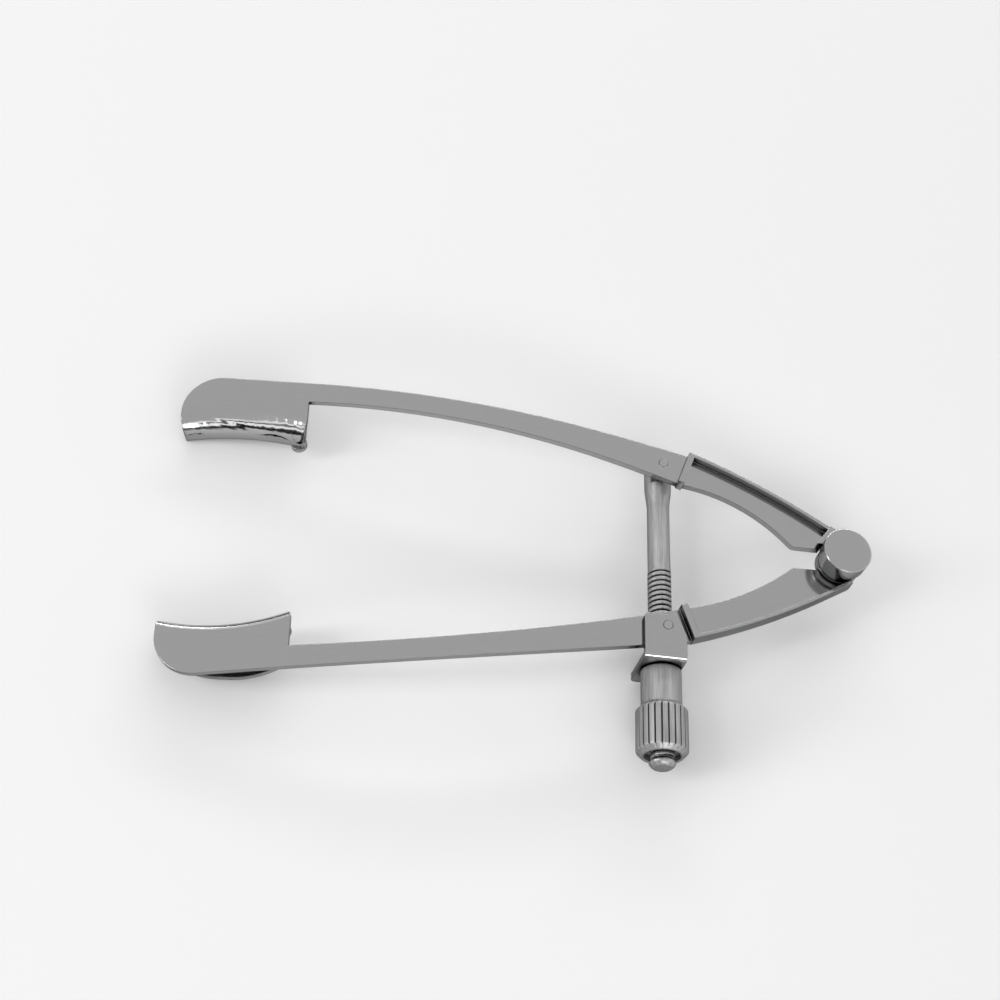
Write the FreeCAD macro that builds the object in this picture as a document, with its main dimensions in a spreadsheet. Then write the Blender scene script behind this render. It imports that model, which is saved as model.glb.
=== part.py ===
import FreeCAD, Part
import math
import os
from types import SimpleNamespace

import Sketcher

# Hinged eye speculum with solid lid blades and a screw that sets the spread.
# The pivot axis is Z, the blades point along -X and the upper arm lies on the +Y side.
# Z starts at the underside of the hinge rivet. Lengths are in millimetres, angles in degrees.

DIMENSIONS = {
    # Arms, seen from above: distances from the pivot axis
    "reach": 73.1,
    "heel_outer_y": 17.45,
    "heel_inner_y": 15.0,
    "bar_outer_x": 16.6,
    "bar_outer_y": 11.4,
    "bar_inner_x": 17.9,
    "bar_inner_y": 7.75,
    "strip_outer_radius": 350.0,
    "strip_inner_radius": 170.0,
    "corner_x": 5.25,
    "upper_corner_y": 1.5,
    "lower_corner_y": 1.1,
    "limb_corner_radius": 0.9,
    "limb_outer_radius": 78.0,
    "upper_inner_radius": 19.0,
    "lower_inner_radius": 30.0,
    "limb_dip_start": 19.0,
    "limb_dip_end": 31.0,
    # Arms, seen from the side
    "foot_height": 0.3,
    "strip_thickness": 0.8,
    "wall_rise": 0.9,
    "wall_thickness": 0.4,
    "upper_wall_stop": 1.25,
    "lower_wall_stop": 0.3,
    "bar_width": 0.7,
    "bar_overhang": 0.2,
    "bend_radius": 140.0,
    # Lid blades
    "blade_length": 14.2,
    "blade_tilt": 13.8,
    "blade_depth": 3.8,
    "blade_thickness": 0.6,
    "blade_heel_y": 10.6,
    "blade_tip_y": 11.8,
    "blade_curve_radius": 21.0,
    "lip_curve_radius": 42.0,
    "nose_y": 14.0,
    "nose_radius": 4.4,
    "nose_outer_y": 18.25,
    "lip_crown_y": 17.2,
    "lip_front_y": 14.2,
    "lip_back_y": 15.0,
    "lip_edge_radius": 9.5,
    "web_lean": 1.2,
    "lip_inset": 0.6,
    "lobe_radius": 0.9,
    "lobe_reach": -0.4,
    "lobe_y": 11.6,
    "bend_outer_radius": 0.95,
    "bend_inner_radius": 0.35,
    "heel_corner_radius": 1.0,
    "tip_corner_radius": 0.7,
    # Hinge
    "disc_radius": 2.45,
    "boss_radius": 2.3,
    "boss_height": 0.3,
    "eye_radius": 2.45,
    "eye_thickness": 0.9,
    "step_x": 2.8,
    "step_run": 2.95,
    "shank_radius": 0.9,
    "foot_radius": 1.5,
    "cap_radius": 2.7,
    "cap_height": 1.8,
    "cap_edge": 0.3,
    "washer_radius": 2.0,
    "washer_thickness": 0.18,
    # Screw and its pivots
    "pin_x": 19.75,
    "pin_y": 10.2,
    "pin_radius": 0.5,
    "pin_tail_radius": 0.9,
    "pin_tail_height": 0.35,
    "screw_z": -1.5,
    "screw_radius": 1.3,
    "shaft_radius": 1.25,
    "screw_end_radius": 1.5,
    "tongue_thickness": 2.0,
    "tongue_length": 1.7,
    "tongue_chamfer": 0.6,
    "flare_length": 3.0,
    "thread_start": 12.3,
    "screw_length": 35.4,
    "stub_radius": 1.45,
    "stub_length": 1.2,
    "stub_dome": 0.45,
    # Swivel bracket
    "bracket_left_x": 22.3,
    "bracket_right_x": 17.7,
    "bracket_slant_x": 18.7,
    "bracket_inner_y": 8.9,
    "bracket_slant_y": 11.3,
    "bracket_outer_y": 14.1,
    "bracket_plate": 0.6,
    "bracket_flange": 0.7,
    "bracket_bottom_z": -4.75,
    "bracket_corner": 0.5,
    # Thumb nut
    "neck_radius": 1.7,
    "ring_radius": 2.3,
    "ring_length": 0.5,
    "collar_radius": 2.2,
    "collar_length": 4.2,
    "head_radius": 2.8,
    "head_length": 5.6,
    "head_chamfer": 0.45,
    "head_recess_radius": 1.95,
    "head_recess_depth": 0.8,
    "flute_depth": 0.22,
    "flute_count": 24,
    # Fits
    "running_gap": 0.04,
    "fixed_gap": 0.02,
    "tongue_gap": 0.08,
    "side_gap": 0.05,
    "swing_gap": 0.15,
}

# How far the outline of a cut reaches past what it cuts
CLEAR = 1.0

document = FreeCAD.newDocument("EyeSpeculum")


class Size:
    """A number together with the sheet formula that gives it."""

    def __init__(self, number, formula):
        self.number = number
        self.formula = formula

    def __add__(self, other):
        other = as_size(other)
        return Size(self.number + other.number, f"({self.formula} + {other.formula})")

    def __radd__(self, other):
        return as_size(other) + self

    def __sub__(self, other):
        other = as_size(other)
        return Size(self.number - other.number, f"({self.formula} - {other.formula})")

    def __rsub__(self, other):
        return as_size(other) - self

    def __mul__(self, other):
        other = as_size(other)
        return Size(self.number * other.number, f"({self.formula} * {other.formula})")

    def __rmul__(self, other):
        return as_size(other) * self

    def __truediv__(self, other):
        other = as_size(other)
        return Size(self.number / other.number, f"({self.formula} / {other.formula})")

    def __neg__(self):
        return Size(-self.number, f"(0 - {self.formula})")


def as_size(value):
    """Takes a plain number as a size of its own."""
    if isinstance(value, Size):
        return value
    return Size(float(value), repr(float(value)))


def sine(angle):
    return Size(math.sin(math.radians(angle.number)), f"sin({angle.formula})")


def cosine(angle):
    return Size(math.cos(math.radians(angle.number)), f"cos({angle.formula})")


def root(value):
    return Size(math.sqrt(value.number), f"sqrt({value.formula})")


def fill_sheet():
    """Writes the driving dimensions to the sheet and returns them as sizes."""
    sheet = document.addObject("Spreadsheet::Sheet", "Sizes")
    sizes = {}
    for row, (name, value) in enumerate(DIMENSIONS.items(), start=1):
        sheet.set(f"A{row}", name)
        sheet.set(f"B{row}", str(value))
        sheet.setAlias(f"B{row}", name)
        sizes[name] = Size(float(value), f"Sizes.{name}")
    document.recompute()
    return SimpleNamespace(**sizes)


def add_body(label):
    body = document.addObject("PartDesign::Body", label)
    body.Label = label
    return body


def place(body, x, y, z, turn=0.0):
    """Puts a body's origin at a point and turns its Z axis towards -Y by an angle about X."""
    turned = FreeCAD.Rotation(FreeCAD.Vector(1, 0, 0), turn)
    body.Placement = FreeCAD.Placement(FreeCAD.Vector(0, 0, 0), turned)
    for axis, size in (("x", x), ("y", y), ("z", z)):
        body.setExpression(f"Placement.Base.{axis}", as_size(size).formula)


def add_sketch(body, name, plane, level=None, frame=None):
    """Starts a sketch on an origin plane, lifted by a level or set in a tilted frame."""
    sketch = body.newObject("Sketcher::SketchObject", name)
    support = [item for item in body.Origin.OriginFeatures if item.Role == plane][0]
    sketch.AttachmentSupport = [(support, "")]
    sketch.MapMode = "FlatFace"
    if level is not None:
        sketch.setExpression("AttachmentOffset.Base.z", as_size(level).formula)
    if frame is not None:
        x, z, tilt = frame
        tilted = FreeCAD.Rotation(FreeCAD.Vector(0, -1, 0), tilt.number)
        sketch.AttachmentOffset = FreeCAD.Placement(FreeCAD.Vector(0, 0, 0), tilted)
        sketch.setExpression("AttachmentOffset.Base.x", x.formula)
        sketch.setExpression("AttachmentOffset.Base.z", z.formula)
        sketch.setExpression("AttachmentOffset.Rotation.Angle", tilt.formula)
    return sketch


def bind(sketch, kind, target, size):
    """Adds one dimension to a sketch and ties it to its formula."""
    size = as_size(size)
    index = sketch.addConstraint(Sketcher.Constraint(kind, *target, size.number))
    sketch.setExpression(f"Constraints[{index}]", size.formula)


def arc_between(start, end, radius):
    """Arc from start to end: a positive radius turns left, a negative one turns right."""
    run_x = end[0] - start[0]
    run_y = end[1] - start[1]
    chord = math.hypot(run_x, run_y)
    rise = math.copysign(math.sqrt(radius * radius - chord * chord / 4), radius)
    centre = FreeCAD.Vector(
        (start[0] + end[0]) / 2 - run_y / chord * rise,
        (start[1] + end[1]) / 2 + run_x / chord * rise,
        0,
    )
    circle = Part.Circle(centre, FreeCAD.Vector(0, 0, 1), abs(radius))
    first, last = (start, end) if radius > 0 else (end, start)
    angles = [math.atan2(point[1] - centre.y, point[0] - centre.x) for point in (first, last)]
    return Part.ArcOfCircle(circle, *angles)


def draw_outline(sketch, corners, rounds=None):
    """Draws a closed outline; rounds gives the signed radius of each edge that is an arc."""
    rounds = rounds or {}
    base = sketch.GeometryCount
    points = [(as_size(x), as_size(y)) for x, y in corners]
    ends = []
    for index, (x, y) in enumerate(points):
        start = (x.number, y.number)
        end = tuple(size.number for size in points[(index + 1) % len(points)])
        radius = rounds.get(index)
        if radius is None:
            line = Part.LineSegment(FreeCAD.Vector(*start, 0), FreeCAD.Vector(*end, 0))
            sketch.addGeometry(line)
            ends.append((1, 2))
        else:
            sketch.addGeometry(arc_between(start, end, radius.number))
            ends.append((1, 2) if radius.number > 0 else (2, 1))
    for index in range(len(points)):
        following = (index + 1) % len(points)
        sketch.addConstraint(
            Sketcher.Constraint(
                "Coincident", base + index, ends[index][1], base + following, ends[following][0]
            )
        )
    for index, (x, y) in enumerate(points):
        bind(sketch, "DistanceX", (-1, 1, base + index, ends[index][0]), x)
        bind(sketch, "DistanceY", (-1, 1, base + index, ends[index][0]), y)
    for index, radius in rounds.items():
        bind(sketch, "Radius", (base + index,), radius if radius.number > 0 else -radius)
    return sketch


def draw_circle(sketch, x, y, radius):
    """Draws a full circle at a point that is given as sizes."""
    x, y = as_size(x), as_size(y)
    circle = Part.Circle(FreeCAD.Vector(x.number, y.number, 0), FreeCAD.Vector(0, 0, 1), radius.number)
    index = sketch.addGeometry(circle)
    if x.number or y.number:
        bind(sketch, "DistanceX", (-1, 1, index, 3), x)
        bind(sketch, "DistanceY", (-1, 1, index, 3), y)
    else:
        sketch.addConstraint(Sketcher.Constraint("Coincident", index, 3, -1, 1))
    bind(sketch, "Radius", (index,), radius)
    return sketch


def pad(body, sketch, length, name, down=False, symmetric=False):
    """Raises a sketch into a solid, along its normal or against it."""
    feature = body.newObject("PartDesign::Pad", name)
    feature.Profile = sketch
    feature.Reversed = down
    if symmetric:
        feature.SideType = "Symmetric"
    feature.setExpression("Length", as_size(length).formula)
    return feature


def pocket(body, sketch, name, depth=None, up=False):
    """Cuts a sketch to a depth below its plane, or right through both ways."""
    feature = body.newObject("PartDesign::Pocket", name)
    feature.Profile = sketch
    if depth is None:
        feature.SideType = "Symmetric"
        feature.Type = "ThroughAll"
    else:
        feature.Reversed = up
        feature.setExpression("Length", as_size(depth).formula)
    return feature


def revolve(body, name, corners, rounds=None):
    """Turns a profile of (radius, height) corners about the body's Z axis."""
    sketch = add_sketch(body, f"{name}_profile", "XZ_Plane")
    draw_outline(sketch, corners, rounds)
    feature = body.newObject("PartDesign::Revolution", name)
    feature.Profile = sketch
    feature.ReferenceAxis = (sketch, ["V_Axis"])
    feature.Angle = 360.0
    return feature


def round_edges(body, base, name, radius, wanted):
    """Rounds the edges whose middle lies nearest to each wanted point."""
    document.recompute()
    names = []
    for point in wanted:
        gaps = [
            edge.valueAt((edge.FirstParameter + edge.LastParameter) / 2).distanceToPoint(point)
            for edge in base.Shape.Edges
        ]
        names.append(f"Edge{gaps.index(min(gaps)) + 1}")
    feature = body.newObject("PartDesign::Fillet", name)
    feature.Base = (base, names)
    feature.setExpression("Radius", radius.formula)
    return feature


size = fill_sheet()

# Levels that the pieces share
strip_bottom = size.foot_height
strip_top = strip_bottom + size.strip_thickness
wall_top = strip_top + size.wall_rise
boss_top = strip_top + size.boss_height
eye_bottom = boss_top + size.washer_thickness + size.running_gap
eye_top = eye_bottom + size.eye_thickness
cap_bottom = eye_top + size.side_gap

# Where the straight strip starts to bend down and where the blade starts
heel_reach = size.reach - size.blade_length * cosine(size.blade_tilt)
bend_reach = heel_reach - size.bend_radius * sine(size.blade_tilt)
heel_z = strip_top - size.bend_radius * (1 - cosine(size.blade_tilt))

# Outer line of the rear limb: an arc that runs into a straight past the pivot
dip_start = (sine(size.limb_dip_start), cosine(size.limb_dip_start))
dip_end = (sine(size.limb_dip_end), cosine(size.limb_dip_end))
limb_centre = (
    -size.bar_outer_x - size.limb_outer_radius * dip_start[0],
    size.bar_outer_y - size.limb_outer_radius * dip_start[1],
)


def limb_point(inset, dip):
    """Point on the limb's outer arc, set in by an inset, where the arc has this dip."""
    radius = size.limb_outer_radius - inset
    return (limb_centre[0] + radius * dip[0], limb_centre[1] + radius * dip[1])


def beside_pivot(inset, run):
    """Point on the limb's straight, set in by an inset, a run before it passes the pivot."""
    joint = limb_point(inset, dip_end)
    away = joint[0] * dip_end[0] + joint[1] * dip_end[1]
    return (away * dip_end[0] - run * dip_end[1], away * dip_end[1] + run * dip_end[0])


def mirrored(points, side):
    """Puts points that are written for the upper arm on the arm of the given side."""
    return [(x, as_size(y) * side) for x, y in points]


def build_strip(body, side):
    """The flat strip from the cross bar to the blade, bent down along an arc."""
    top_arc_end = (-heel_reach, heel_z)
    under_heel = (
        -heel_reach + size.blade_thickness * sine(size.blade_tilt),
        heel_z - size.blade_thickness * cosine(size.blade_tilt),
    )
    profile = add_sketch(body, "strip_side", "XZ_Plane")
    corners = [
        (-size.bar_outer_x, strip_top),
        (-bend_reach, strip_top),
        top_arc_end,
        under_heel,
        (-bend_reach, strip_bottom),
        (-size.bar_outer_x, strip_bottom),
    ]
    draw_outline(profile, corners, {1: size.bend_radius, 3: size.strip_thickness - size.bend_radius})
    half = size.heel_outer_y + CLEAR
    pad(body, profile, 2 * half, "strip_blank", symmetric=True)
    plan = add_sketch(body, "strip_plan", "XY_Plane")
    far = heel_reach + CLEAR
    left = -far - CLEAR
    waste = half + CLEAR
    draw_outline(plan, [(left, -waste), (CLEAR, -waste), (CLEAR, waste), (left, waste)])
    edge = mirrored(
        [
            (-far, size.heel_outer_y),
            (-heel_reach, size.heel_outer_y),
            (-size.bar_outer_x, size.bar_outer_y),
            (-size.bar_inner_x, size.bar_inner_y),
            (-heel_reach, size.heel_inner_y),
            (-far, size.heel_inner_y),
        ],
        side,
    )
    rounds = {1: size.strip_outer_radius * -side, 3: size.strip_inner_radius * side}
    draw_outline(plan, edge, rounds)
    pocket(body, plan, "strip_trim")


def build_blade(body, side):
    """The lid blade: a plate, a curved web along its inner side and a lip beneath."""
    frame = (-heel_reach, heel_z, size.blade_tilt)
    inner_heel = (0.0, size.blade_heel_y)
    inner_tip = (-size.blade_length, size.blade_tip_y)

    def lowered(depth):
        return (
            -heel_reach + depth * sine(size.blade_tilt),
            heel_z - depth * cosine(size.blade_tilt),
            size.blade_tilt,
        )

    def web_band(name, depth, curve):
        band = [
            inner_heel,
            inner_tip,
            (inner_tip[0], inner_tip[1] + size.blade_thickness),
            (inner_heel[0], inner_heel[1] + size.blade_thickness),
        ]
        sketch = add_sketch(body, name, "XY_Plane", frame=lowered(as_size(depth)))
        return draw_outline(sketch, mirrored(band, side), {0: curve * side, 2: curve * -side})

    web = body.newObject("PartDesign::AdditiveLoft", "web")
    web.Profile = web_band("web_top", 0.0, size.blade_curve_radius)
    web.Sections = [web_band("web_bottom", size.blade_depth, size.lip_curve_radius)]
    web.Ruled = True

    buried = size.blade_thickness / 2
    plate = add_sketch(body, "plate_outline", "XY_Plane", frame=frame)
    plate_corners = [
        (0.0, size.heel_outer_y),
        (0.0, inner_heel[1] + buried),
        (inner_tip[0], inner_tip[1] + buried),
        (inner_tip[0], size.nose_y),
        (inner_tip[0] + size.nose_radius, size.nose_outer_y),
    ]
    plate_rounds = {1: size.blade_curve_radius * side, 3: size.nose_radius * -side}
    draw_outline(plate, mirrored(plate_corners, side), plate_rounds)
    pad(body, plate, size.blade_thickness, "plate", down=True)

    lip = add_sketch(body, "lip_outline", "XY_Plane", frame=lowered(size.blade_depth))
    lip_corners = [
        (0.0, size.lip_back_y),
        (0.0, inner_heel[1] + buried),
        (inner_tip[0], inner_tip[1] + buried),
        (inner_tip[0], size.lip_front_y),
        (inner_tip[0] / 2, size.lip_crown_y),
    ]
    lip_rounds = {
        1: size.lip_curve_radius * side,
        3: size.lip_edge_radius * -side,
        4: size.lip_edge_radius * -side,
    }
    draw_outline(lip, mirrored(lip_corners, side), lip_rounds)
    feature = pad(body, lip, size.blade_thickness, "lip")

    def in_blade(along, across, depth):
        """Point of the tilted blade frame in the body's frame."""
        tilt = math.radians(size.blade_tilt.number)
        return FreeCAD.Vector(
            -heel_reach.number + along * math.cos(tilt) + depth * math.sin(tilt),
            across * side,
            heel_z.number + along * math.sin(tilt) - depth * math.cos(tilt),
        )

    def sagitta(radius):
        half_chord = size.blade_length.number / 2
        return radius.number - math.sqrt(radius.number ** 2 - half_chord ** 2)

    middle = -size.blade_length.number / 2
    across = (size.blade_heel_y.number + size.blade_tip_y.number) / 2
    thick = size.blade_thickness.number
    depth = size.blade_depth.number
    outer = [
        in_blade(middle, across + sagitta(size.blade_curve_radius), 0.0),
        in_blade(middle, across + sagitta(size.lip_curve_radius), depth),
    ]
    bends = round_edges(body, feature, "outer_bends", size.bend_outer_radius, outer)
    inner = [
        in_blade(middle, across + thick + sagitta(size.blade_curve_radius), thick),
        in_blade(middle, across + thick + sagitta(size.lip_curve_radius), depth - thick),
    ]
    round_edges(body, bends, "inner_bends", size.bend_inner_radius, inner)

    corner_cuts = (
        ("heel_corner", inner_heel, size.heel_corner_radius, 1),
        ("tip_corner", inner_tip, size.tip_corner_radius, -1),
    )
    for name, (x, y), radius, outward in corner_cuts:
        wedge = [
            (x, y + radius),
            (x + CLEAR * outward, y + radius),
            (x + CLEAR * outward, y - CLEAR),
            (x - radius * outward, y - CLEAR),
            (x - radius * outward, y),
        ]
        sketch = add_sketch(body, f"{name}_outline", "XY_Plane", frame=frame)
        draw_outline(sketch, mirrored(wedge, side), {4: radius * (side * outward)})
        pocket(body, sketch, name)

    def beside_heel(along, depth):
        """Point in the side view, a length behind the blade's heel and a depth under its top."""
        level = lowered(as_size(depth))
        return (level[0] + along * cosine(size.blade_tilt), level[1] + along * sine(size.blade_tilt))

    lip_top = size.blade_depth - size.blade_thickness
    rear_corners = [
        beside_heel(as_size(0.0), size.blade_thickness),
        beside_heel(-size.web_lean, lip_top),
        beside_heel(-size.lip_inset, lip_top),
        beside_heel(-size.lip_inset, size.blade_depth + CLEAR),
        beside_heel(as_size(CLEAR), size.blade_depth + CLEAR),
    ]
    rear = add_sketch(body, "web_rear_outline", "XZ_Plane")
    pocket(body, draw_outline(rear, rear_corners), "web_rear")

    lobe = add_sketch(body, "lobe_outline", "XY_Plane", frame=lowered(size.blade_depth))
    draw_circle(lobe, size.lobe_reach - size.lobe_radius, size.lobe_y * side, size.lobe_radius)
    pad(body, lobe, size.blade_thickness, "lobe")


def build_limb(body, side, wall_stop, corner_y, inner_radius):
    """The rear limb: floor, outer wall and cross bar. The wall stops a run before it passes the pivot."""
    bar_inner = (-size.bar_inner_x, size.bar_inner_y)
    bar_outer = (-size.bar_outer_x, size.bar_outer_y)
    wall_end = beside_pivot(0.0, wall_stop)
    floor_corners = [
        bar_inner,
        bar_outer,
        limb_point(0.0, dip_end),
        wall_end,
        (0.0, corner_y),
        (-size.corner_x, corner_y),
    ]
    floor_rounds = {1: size.limb_outer_radius * -side, 5: inner_radius * side}
    floor = add_sketch(body, "floor_outline", "XY_Plane", strip_bottom)
    draw_outline(floor, mirrored(floor_corners, side), floor_rounds)
    feature = pad(body, floor, size.strip_thickness, "floor")
    corner_middle = FreeCAD.Vector(
        -size.corner_x.number,
        corner_y.number * side,
        (strip_bottom.number + strip_top.number) / 2,
    )
    round_edges(body, feature, "limb_corner", size.limb_corner_radius, [corner_middle])

    wall_corners = [
        bar_outer,
        limb_point(0.0, dip_end),
        wall_end,
        beside_pivot(size.wall_thickness, wall_stop),
        limb_point(size.wall_thickness, dip_end),
        limb_point(size.wall_thickness, dip_start),
    ]
    wall_radius = size.limb_outer_radius - size.wall_thickness
    wall_rounds = {0: size.limb_outer_radius * -side, 4: wall_radius * side}
    wall = add_sketch(body, "wall_outline", "XY_Plane", strip_bottom)
    draw_outline(wall, mirrored(wall_corners, side), wall_rounds)
    pad(body, wall, wall_top - strip_bottom, "wall")

    run = (bar_outer[0] - bar_inner[0], bar_outer[1] - bar_inner[1])
    length = root(run[0] * run[0] + run[1] * run[1])
    along = (run[0] / length, run[1] / length)
    half = size.bar_width / 2
    inner_end = (
        bar_inner[0] - along[0] * size.bar_overhang,
        bar_inner[1] - along[1] * size.bar_overhang,
    )
    bar_corners = [
        (inner_end[0] - along[1] * half, inner_end[1] + along[0] * half),
        (bar_outer[0] - along[1] * half, bar_outer[1] + along[0] * half),
        (bar_outer[0] + along[1] * half, bar_outer[1] - along[0] * half),
        (inner_end[0] + along[1] * half, inner_end[1] - along[0] * half),
    ]
    bar = add_sketch(body, "bar_outline", "XY_Plane", strip_bottom)
    draw_outline(bar, mirrored(bar_corners, side))
    pad(body, bar, wall_top - strip_bottom, "bar")


def bore(body, name, x, y, radius):
    sketch = add_sketch(body, f"{name}_circle", "XY_Plane")
    draw_circle(sketch, x, y, radius)
    pocket(body, sketch, name)


def build_lower_arm():
    body = add_body("lower_arm")
    side = -1
    build_strip(body, side)
    build_blade(body, side)
    build_limb(body, side, size.lower_wall_stop, size.lower_corner_y, size.lower_inner_radius)
    disc = add_sketch(body, "disc_circle", "XY_Plane", strip_bottom)
    pad(body, draw_circle(disc, 0, 0, size.disc_radius), size.strip_thickness, "disc")
    boss = add_sketch(body, "boss_circle", "XY_Plane", strip_bottom)
    pad(body, draw_circle(boss, 0, 0, size.boss_radius), boss_top - strip_bottom, "boss")
    bore(body, "hinge_bore", 0, 0, size.shank_radius + size.fixed_gap)
    bore(body, "pin_bore", -size.pin_x, -size.pin_y, size.pin_radius + size.fixed_gap)
    return body


def build_upper_arm():
    body = add_body("upper_arm")
    side = 1
    build_strip(body, side)
    build_blade(body, side)
    build_limb(body, side, size.upper_wall_stop, size.upper_corner_y, size.upper_inner_radius)
    riser_corners = [
        (-size.step_x, size.upper_corner_y),
        beside_pivot(size.wall_thickness / 2, size.step_run),
        beside_pivot(size.wall_thickness / 2, size.upper_wall_stop),
        (0.0, size.upper_corner_y),
    ]
    riser = add_sketch(body, "riser_outline", "XY_Plane", strip_bottom)
    pad(body, draw_outline(riser, riser_corners), eye_top - strip_bottom, "riser")
    eye = add_sketch(body, "eye_circle", "XY_Plane", eye_bottom)
    pad(body, draw_circle(eye, 0, 0, size.eye_radius), size.eye_thickness, "eye")
    relief = add_sketch(body, "relief_circle", "XY_Plane", eye_bottom)
    pocket(body, draw_circle(relief, 0, 0, size.disc_radius + size.swing_gap), "relief", eye_bottom)
    bore(body, "hinge_bore", 0, 0, size.shank_radius + size.running_gap)
    bore(body, "pin_bore", -size.pin_x, size.pin_y, size.pin_radius + size.fixed_gap)
    return body


def build_hinge_rivet():
    body = add_body("hinge_rivet")
    cap_top = cap_bottom + size.cap_height
    corners = [
        (0.0, 0.0),
        (size.foot_radius, 0.0),
        (size.foot_radius, size.foot_height),
        (size.shank_radius, size.foot_height),
        (size.shank_radius, cap_bottom),
        (size.cap_radius, cap_bottom),
        (size.cap_radius, cap_top - size.cap_edge),
        (size.cap_radius - size.cap_edge, cap_top),
        (0.0, cap_top),
    ]
    revolve(body, "rivet", corners, {6: size.cap_edge})
    return body


def build_hinge_washer():
    body = add_body("hinge_washer")
    inner = size.shank_radius + size.running_gap
    top = boss_top + size.washer_thickness
    corners = [(inner, boss_top), (size.washer_radius, boss_top), (size.washer_radius, top), (inner, top)]
    revolve(body, "washer", corners)
    return body


def build_adjusting_screw():
    body = add_body("adjusting_screw")
    flare_end = size.tongue_length + size.flare_length
    stub_start = size.screw_length - size.stub_length
    chamfer = size.tongue_chamfer
    corners = [
        (0.0, -size.screw_end_radius),
        (size.screw_end_radius - chamfer, -size.screw_end_radius),
        (size.screw_end_radius, chamfer - size.screw_end_radius),
        (size.screw_end_radius, size.tongue_length),
        (size.shaft_radius, flare_end),
        (size.shaft_radius, size.thread_start),
        (size.screw_radius, size.thread_start),
        (size.screw_radius, stub_start),
        (size.stub_radius, stub_start),
        (size.stub_radius, size.screw_length - size.stub_dome),
        (size.stub_radius - size.stub_dome, size.screw_length),
        (0.0, size.screw_length),
    ]
    revolve(body, "rod", corners, {9: size.stub_dome})
    half = size.tongue_thickness / 2
    for name, level, up in (("upper_flat", half, True), ("lower_flat", -half, False)):
        wide = size.screw_end_radius + CLEAR
        flat = add_sketch(body, f"{name}_outline", "XZ_Plane", -level)
        corners = [(-wide, -wide), (wide, -wide), (wide, size.tongue_length), (-wide, size.tongue_length)]
        pocket(body, draw_outline(flat, corners), name, size.screw_end_radius, not up)
    hole = add_sketch(body, "tongue_hole_circle", "XZ_Plane")
    pocket(body, draw_circle(hole, 0, 0, size.pin_radius + size.tongue_gap), "tongue_hole")
    place(body, -size.pin_x, size.pin_y, size.screw_z, 90)
    return body


def build_screw_pin():
    body = add_body("screw_pin")
    tongue_top = size.screw_z + size.tongue_thickness / 2 + size.side_gap
    tongue_bottom = size.screw_z - size.tongue_thickness / 2 - size.side_gap
    shoulder = size.pin_tail_radius
    corners = [
        (0.0, tongue_bottom - size.pin_tail_height),
        (shoulder, tongue_bottom - size.pin_tail_height),
        (shoulder, tongue_bottom),
        (size.pin_radius, tongue_bottom),
        (size.pin_radius, tongue_top),
        (shoulder, tongue_top),
        (shoulder, strip_bottom),
        (size.pin_radius, strip_bottom),
        (size.pin_radius, strip_top + size.fixed_gap),
        (0.0, strip_top + size.fixed_gap),
    ]
    revolve(body, "pin", corners)
    place(body, -size.pin_x, size.pin_y, 0.0)
    return body


def build_swivel_bracket():
    body = add_body("swivel_bracket")
    plate_bottom = strip_top + size.side_gap
    plate_top = plate_bottom + size.bracket_plate
    left, right = -size.bracket_left_x, -size.bracket_right_x
    corner = size.bracket_corner
    plate = add_sketch(body, "plate_outline", "XY_Plane", plate_bottom)
    corners = [
        (left, -size.bracket_outer_y),
        (right, -size.bracket_outer_y),
        (right, -size.bracket_slant_y),
        (-size.bracket_slant_x, -size.bracket_inner_y),
        (left + corner, -size.bracket_inner_y),
        (left, -size.bracket_inner_y - corner),
    ]
    pad(body, draw_outline(plate, corners, {4: corner}), size.bracket_plate, "plate")
    flange = add_sketch(body, "flange_outline", "XZ_Plane", size.bracket_outer_y)
    low = size.bracket_bottom_z
    corners = [
        (left, plate_top),
        (left, low + corner),
        (left + corner, low),
        (right - corner, low),
        (right, low + corner),
        (right, plate_top),
    ]
    draw_outline(flange, corners, {1: corner, 3: corner})
    feature = pad(body, flange, size.bracket_flange, "flange", down=True)
    bend = FreeCAD.Vector((left.number + right.number) / 2, -size.bracket_outer_y.number, plate_top.number)
    round_edges(body, feature, "bend", size.bracket_plate, [bend])
    bore(body, "pin_bore", -size.pin_x, -size.pin_y, size.pin_radius + size.running_gap)
    neck = add_sketch(body, "neck_circle", "XZ_Plane", size.bracket_outer_y)
    draw_circle(neck, -size.pin_x, size.screw_z, size.neck_radius + size.running_gap)
    pocket(body, neck, "neck_bore", size.bracket_flange + CLEAR)
    return body


def build_bracket_pin():
    body = add_body("bracket_pin")
    top = strip_top + size.side_gap + size.bracket_plate + size.fixed_gap
    corners = [
        (0.0, strip_bottom - size.pin_tail_height),
        (size.pin_tail_radius, strip_bottom - size.pin_tail_height),
        (size.pin_tail_radius, strip_bottom),
        (size.pin_radius, strip_bottom),
        (size.pin_radius, top),
        (0.0, top),
    ]
    revolve(body, "pin", corners)
    place(body, -size.pin_x, -size.pin_y, 0.0)
    return body


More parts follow.
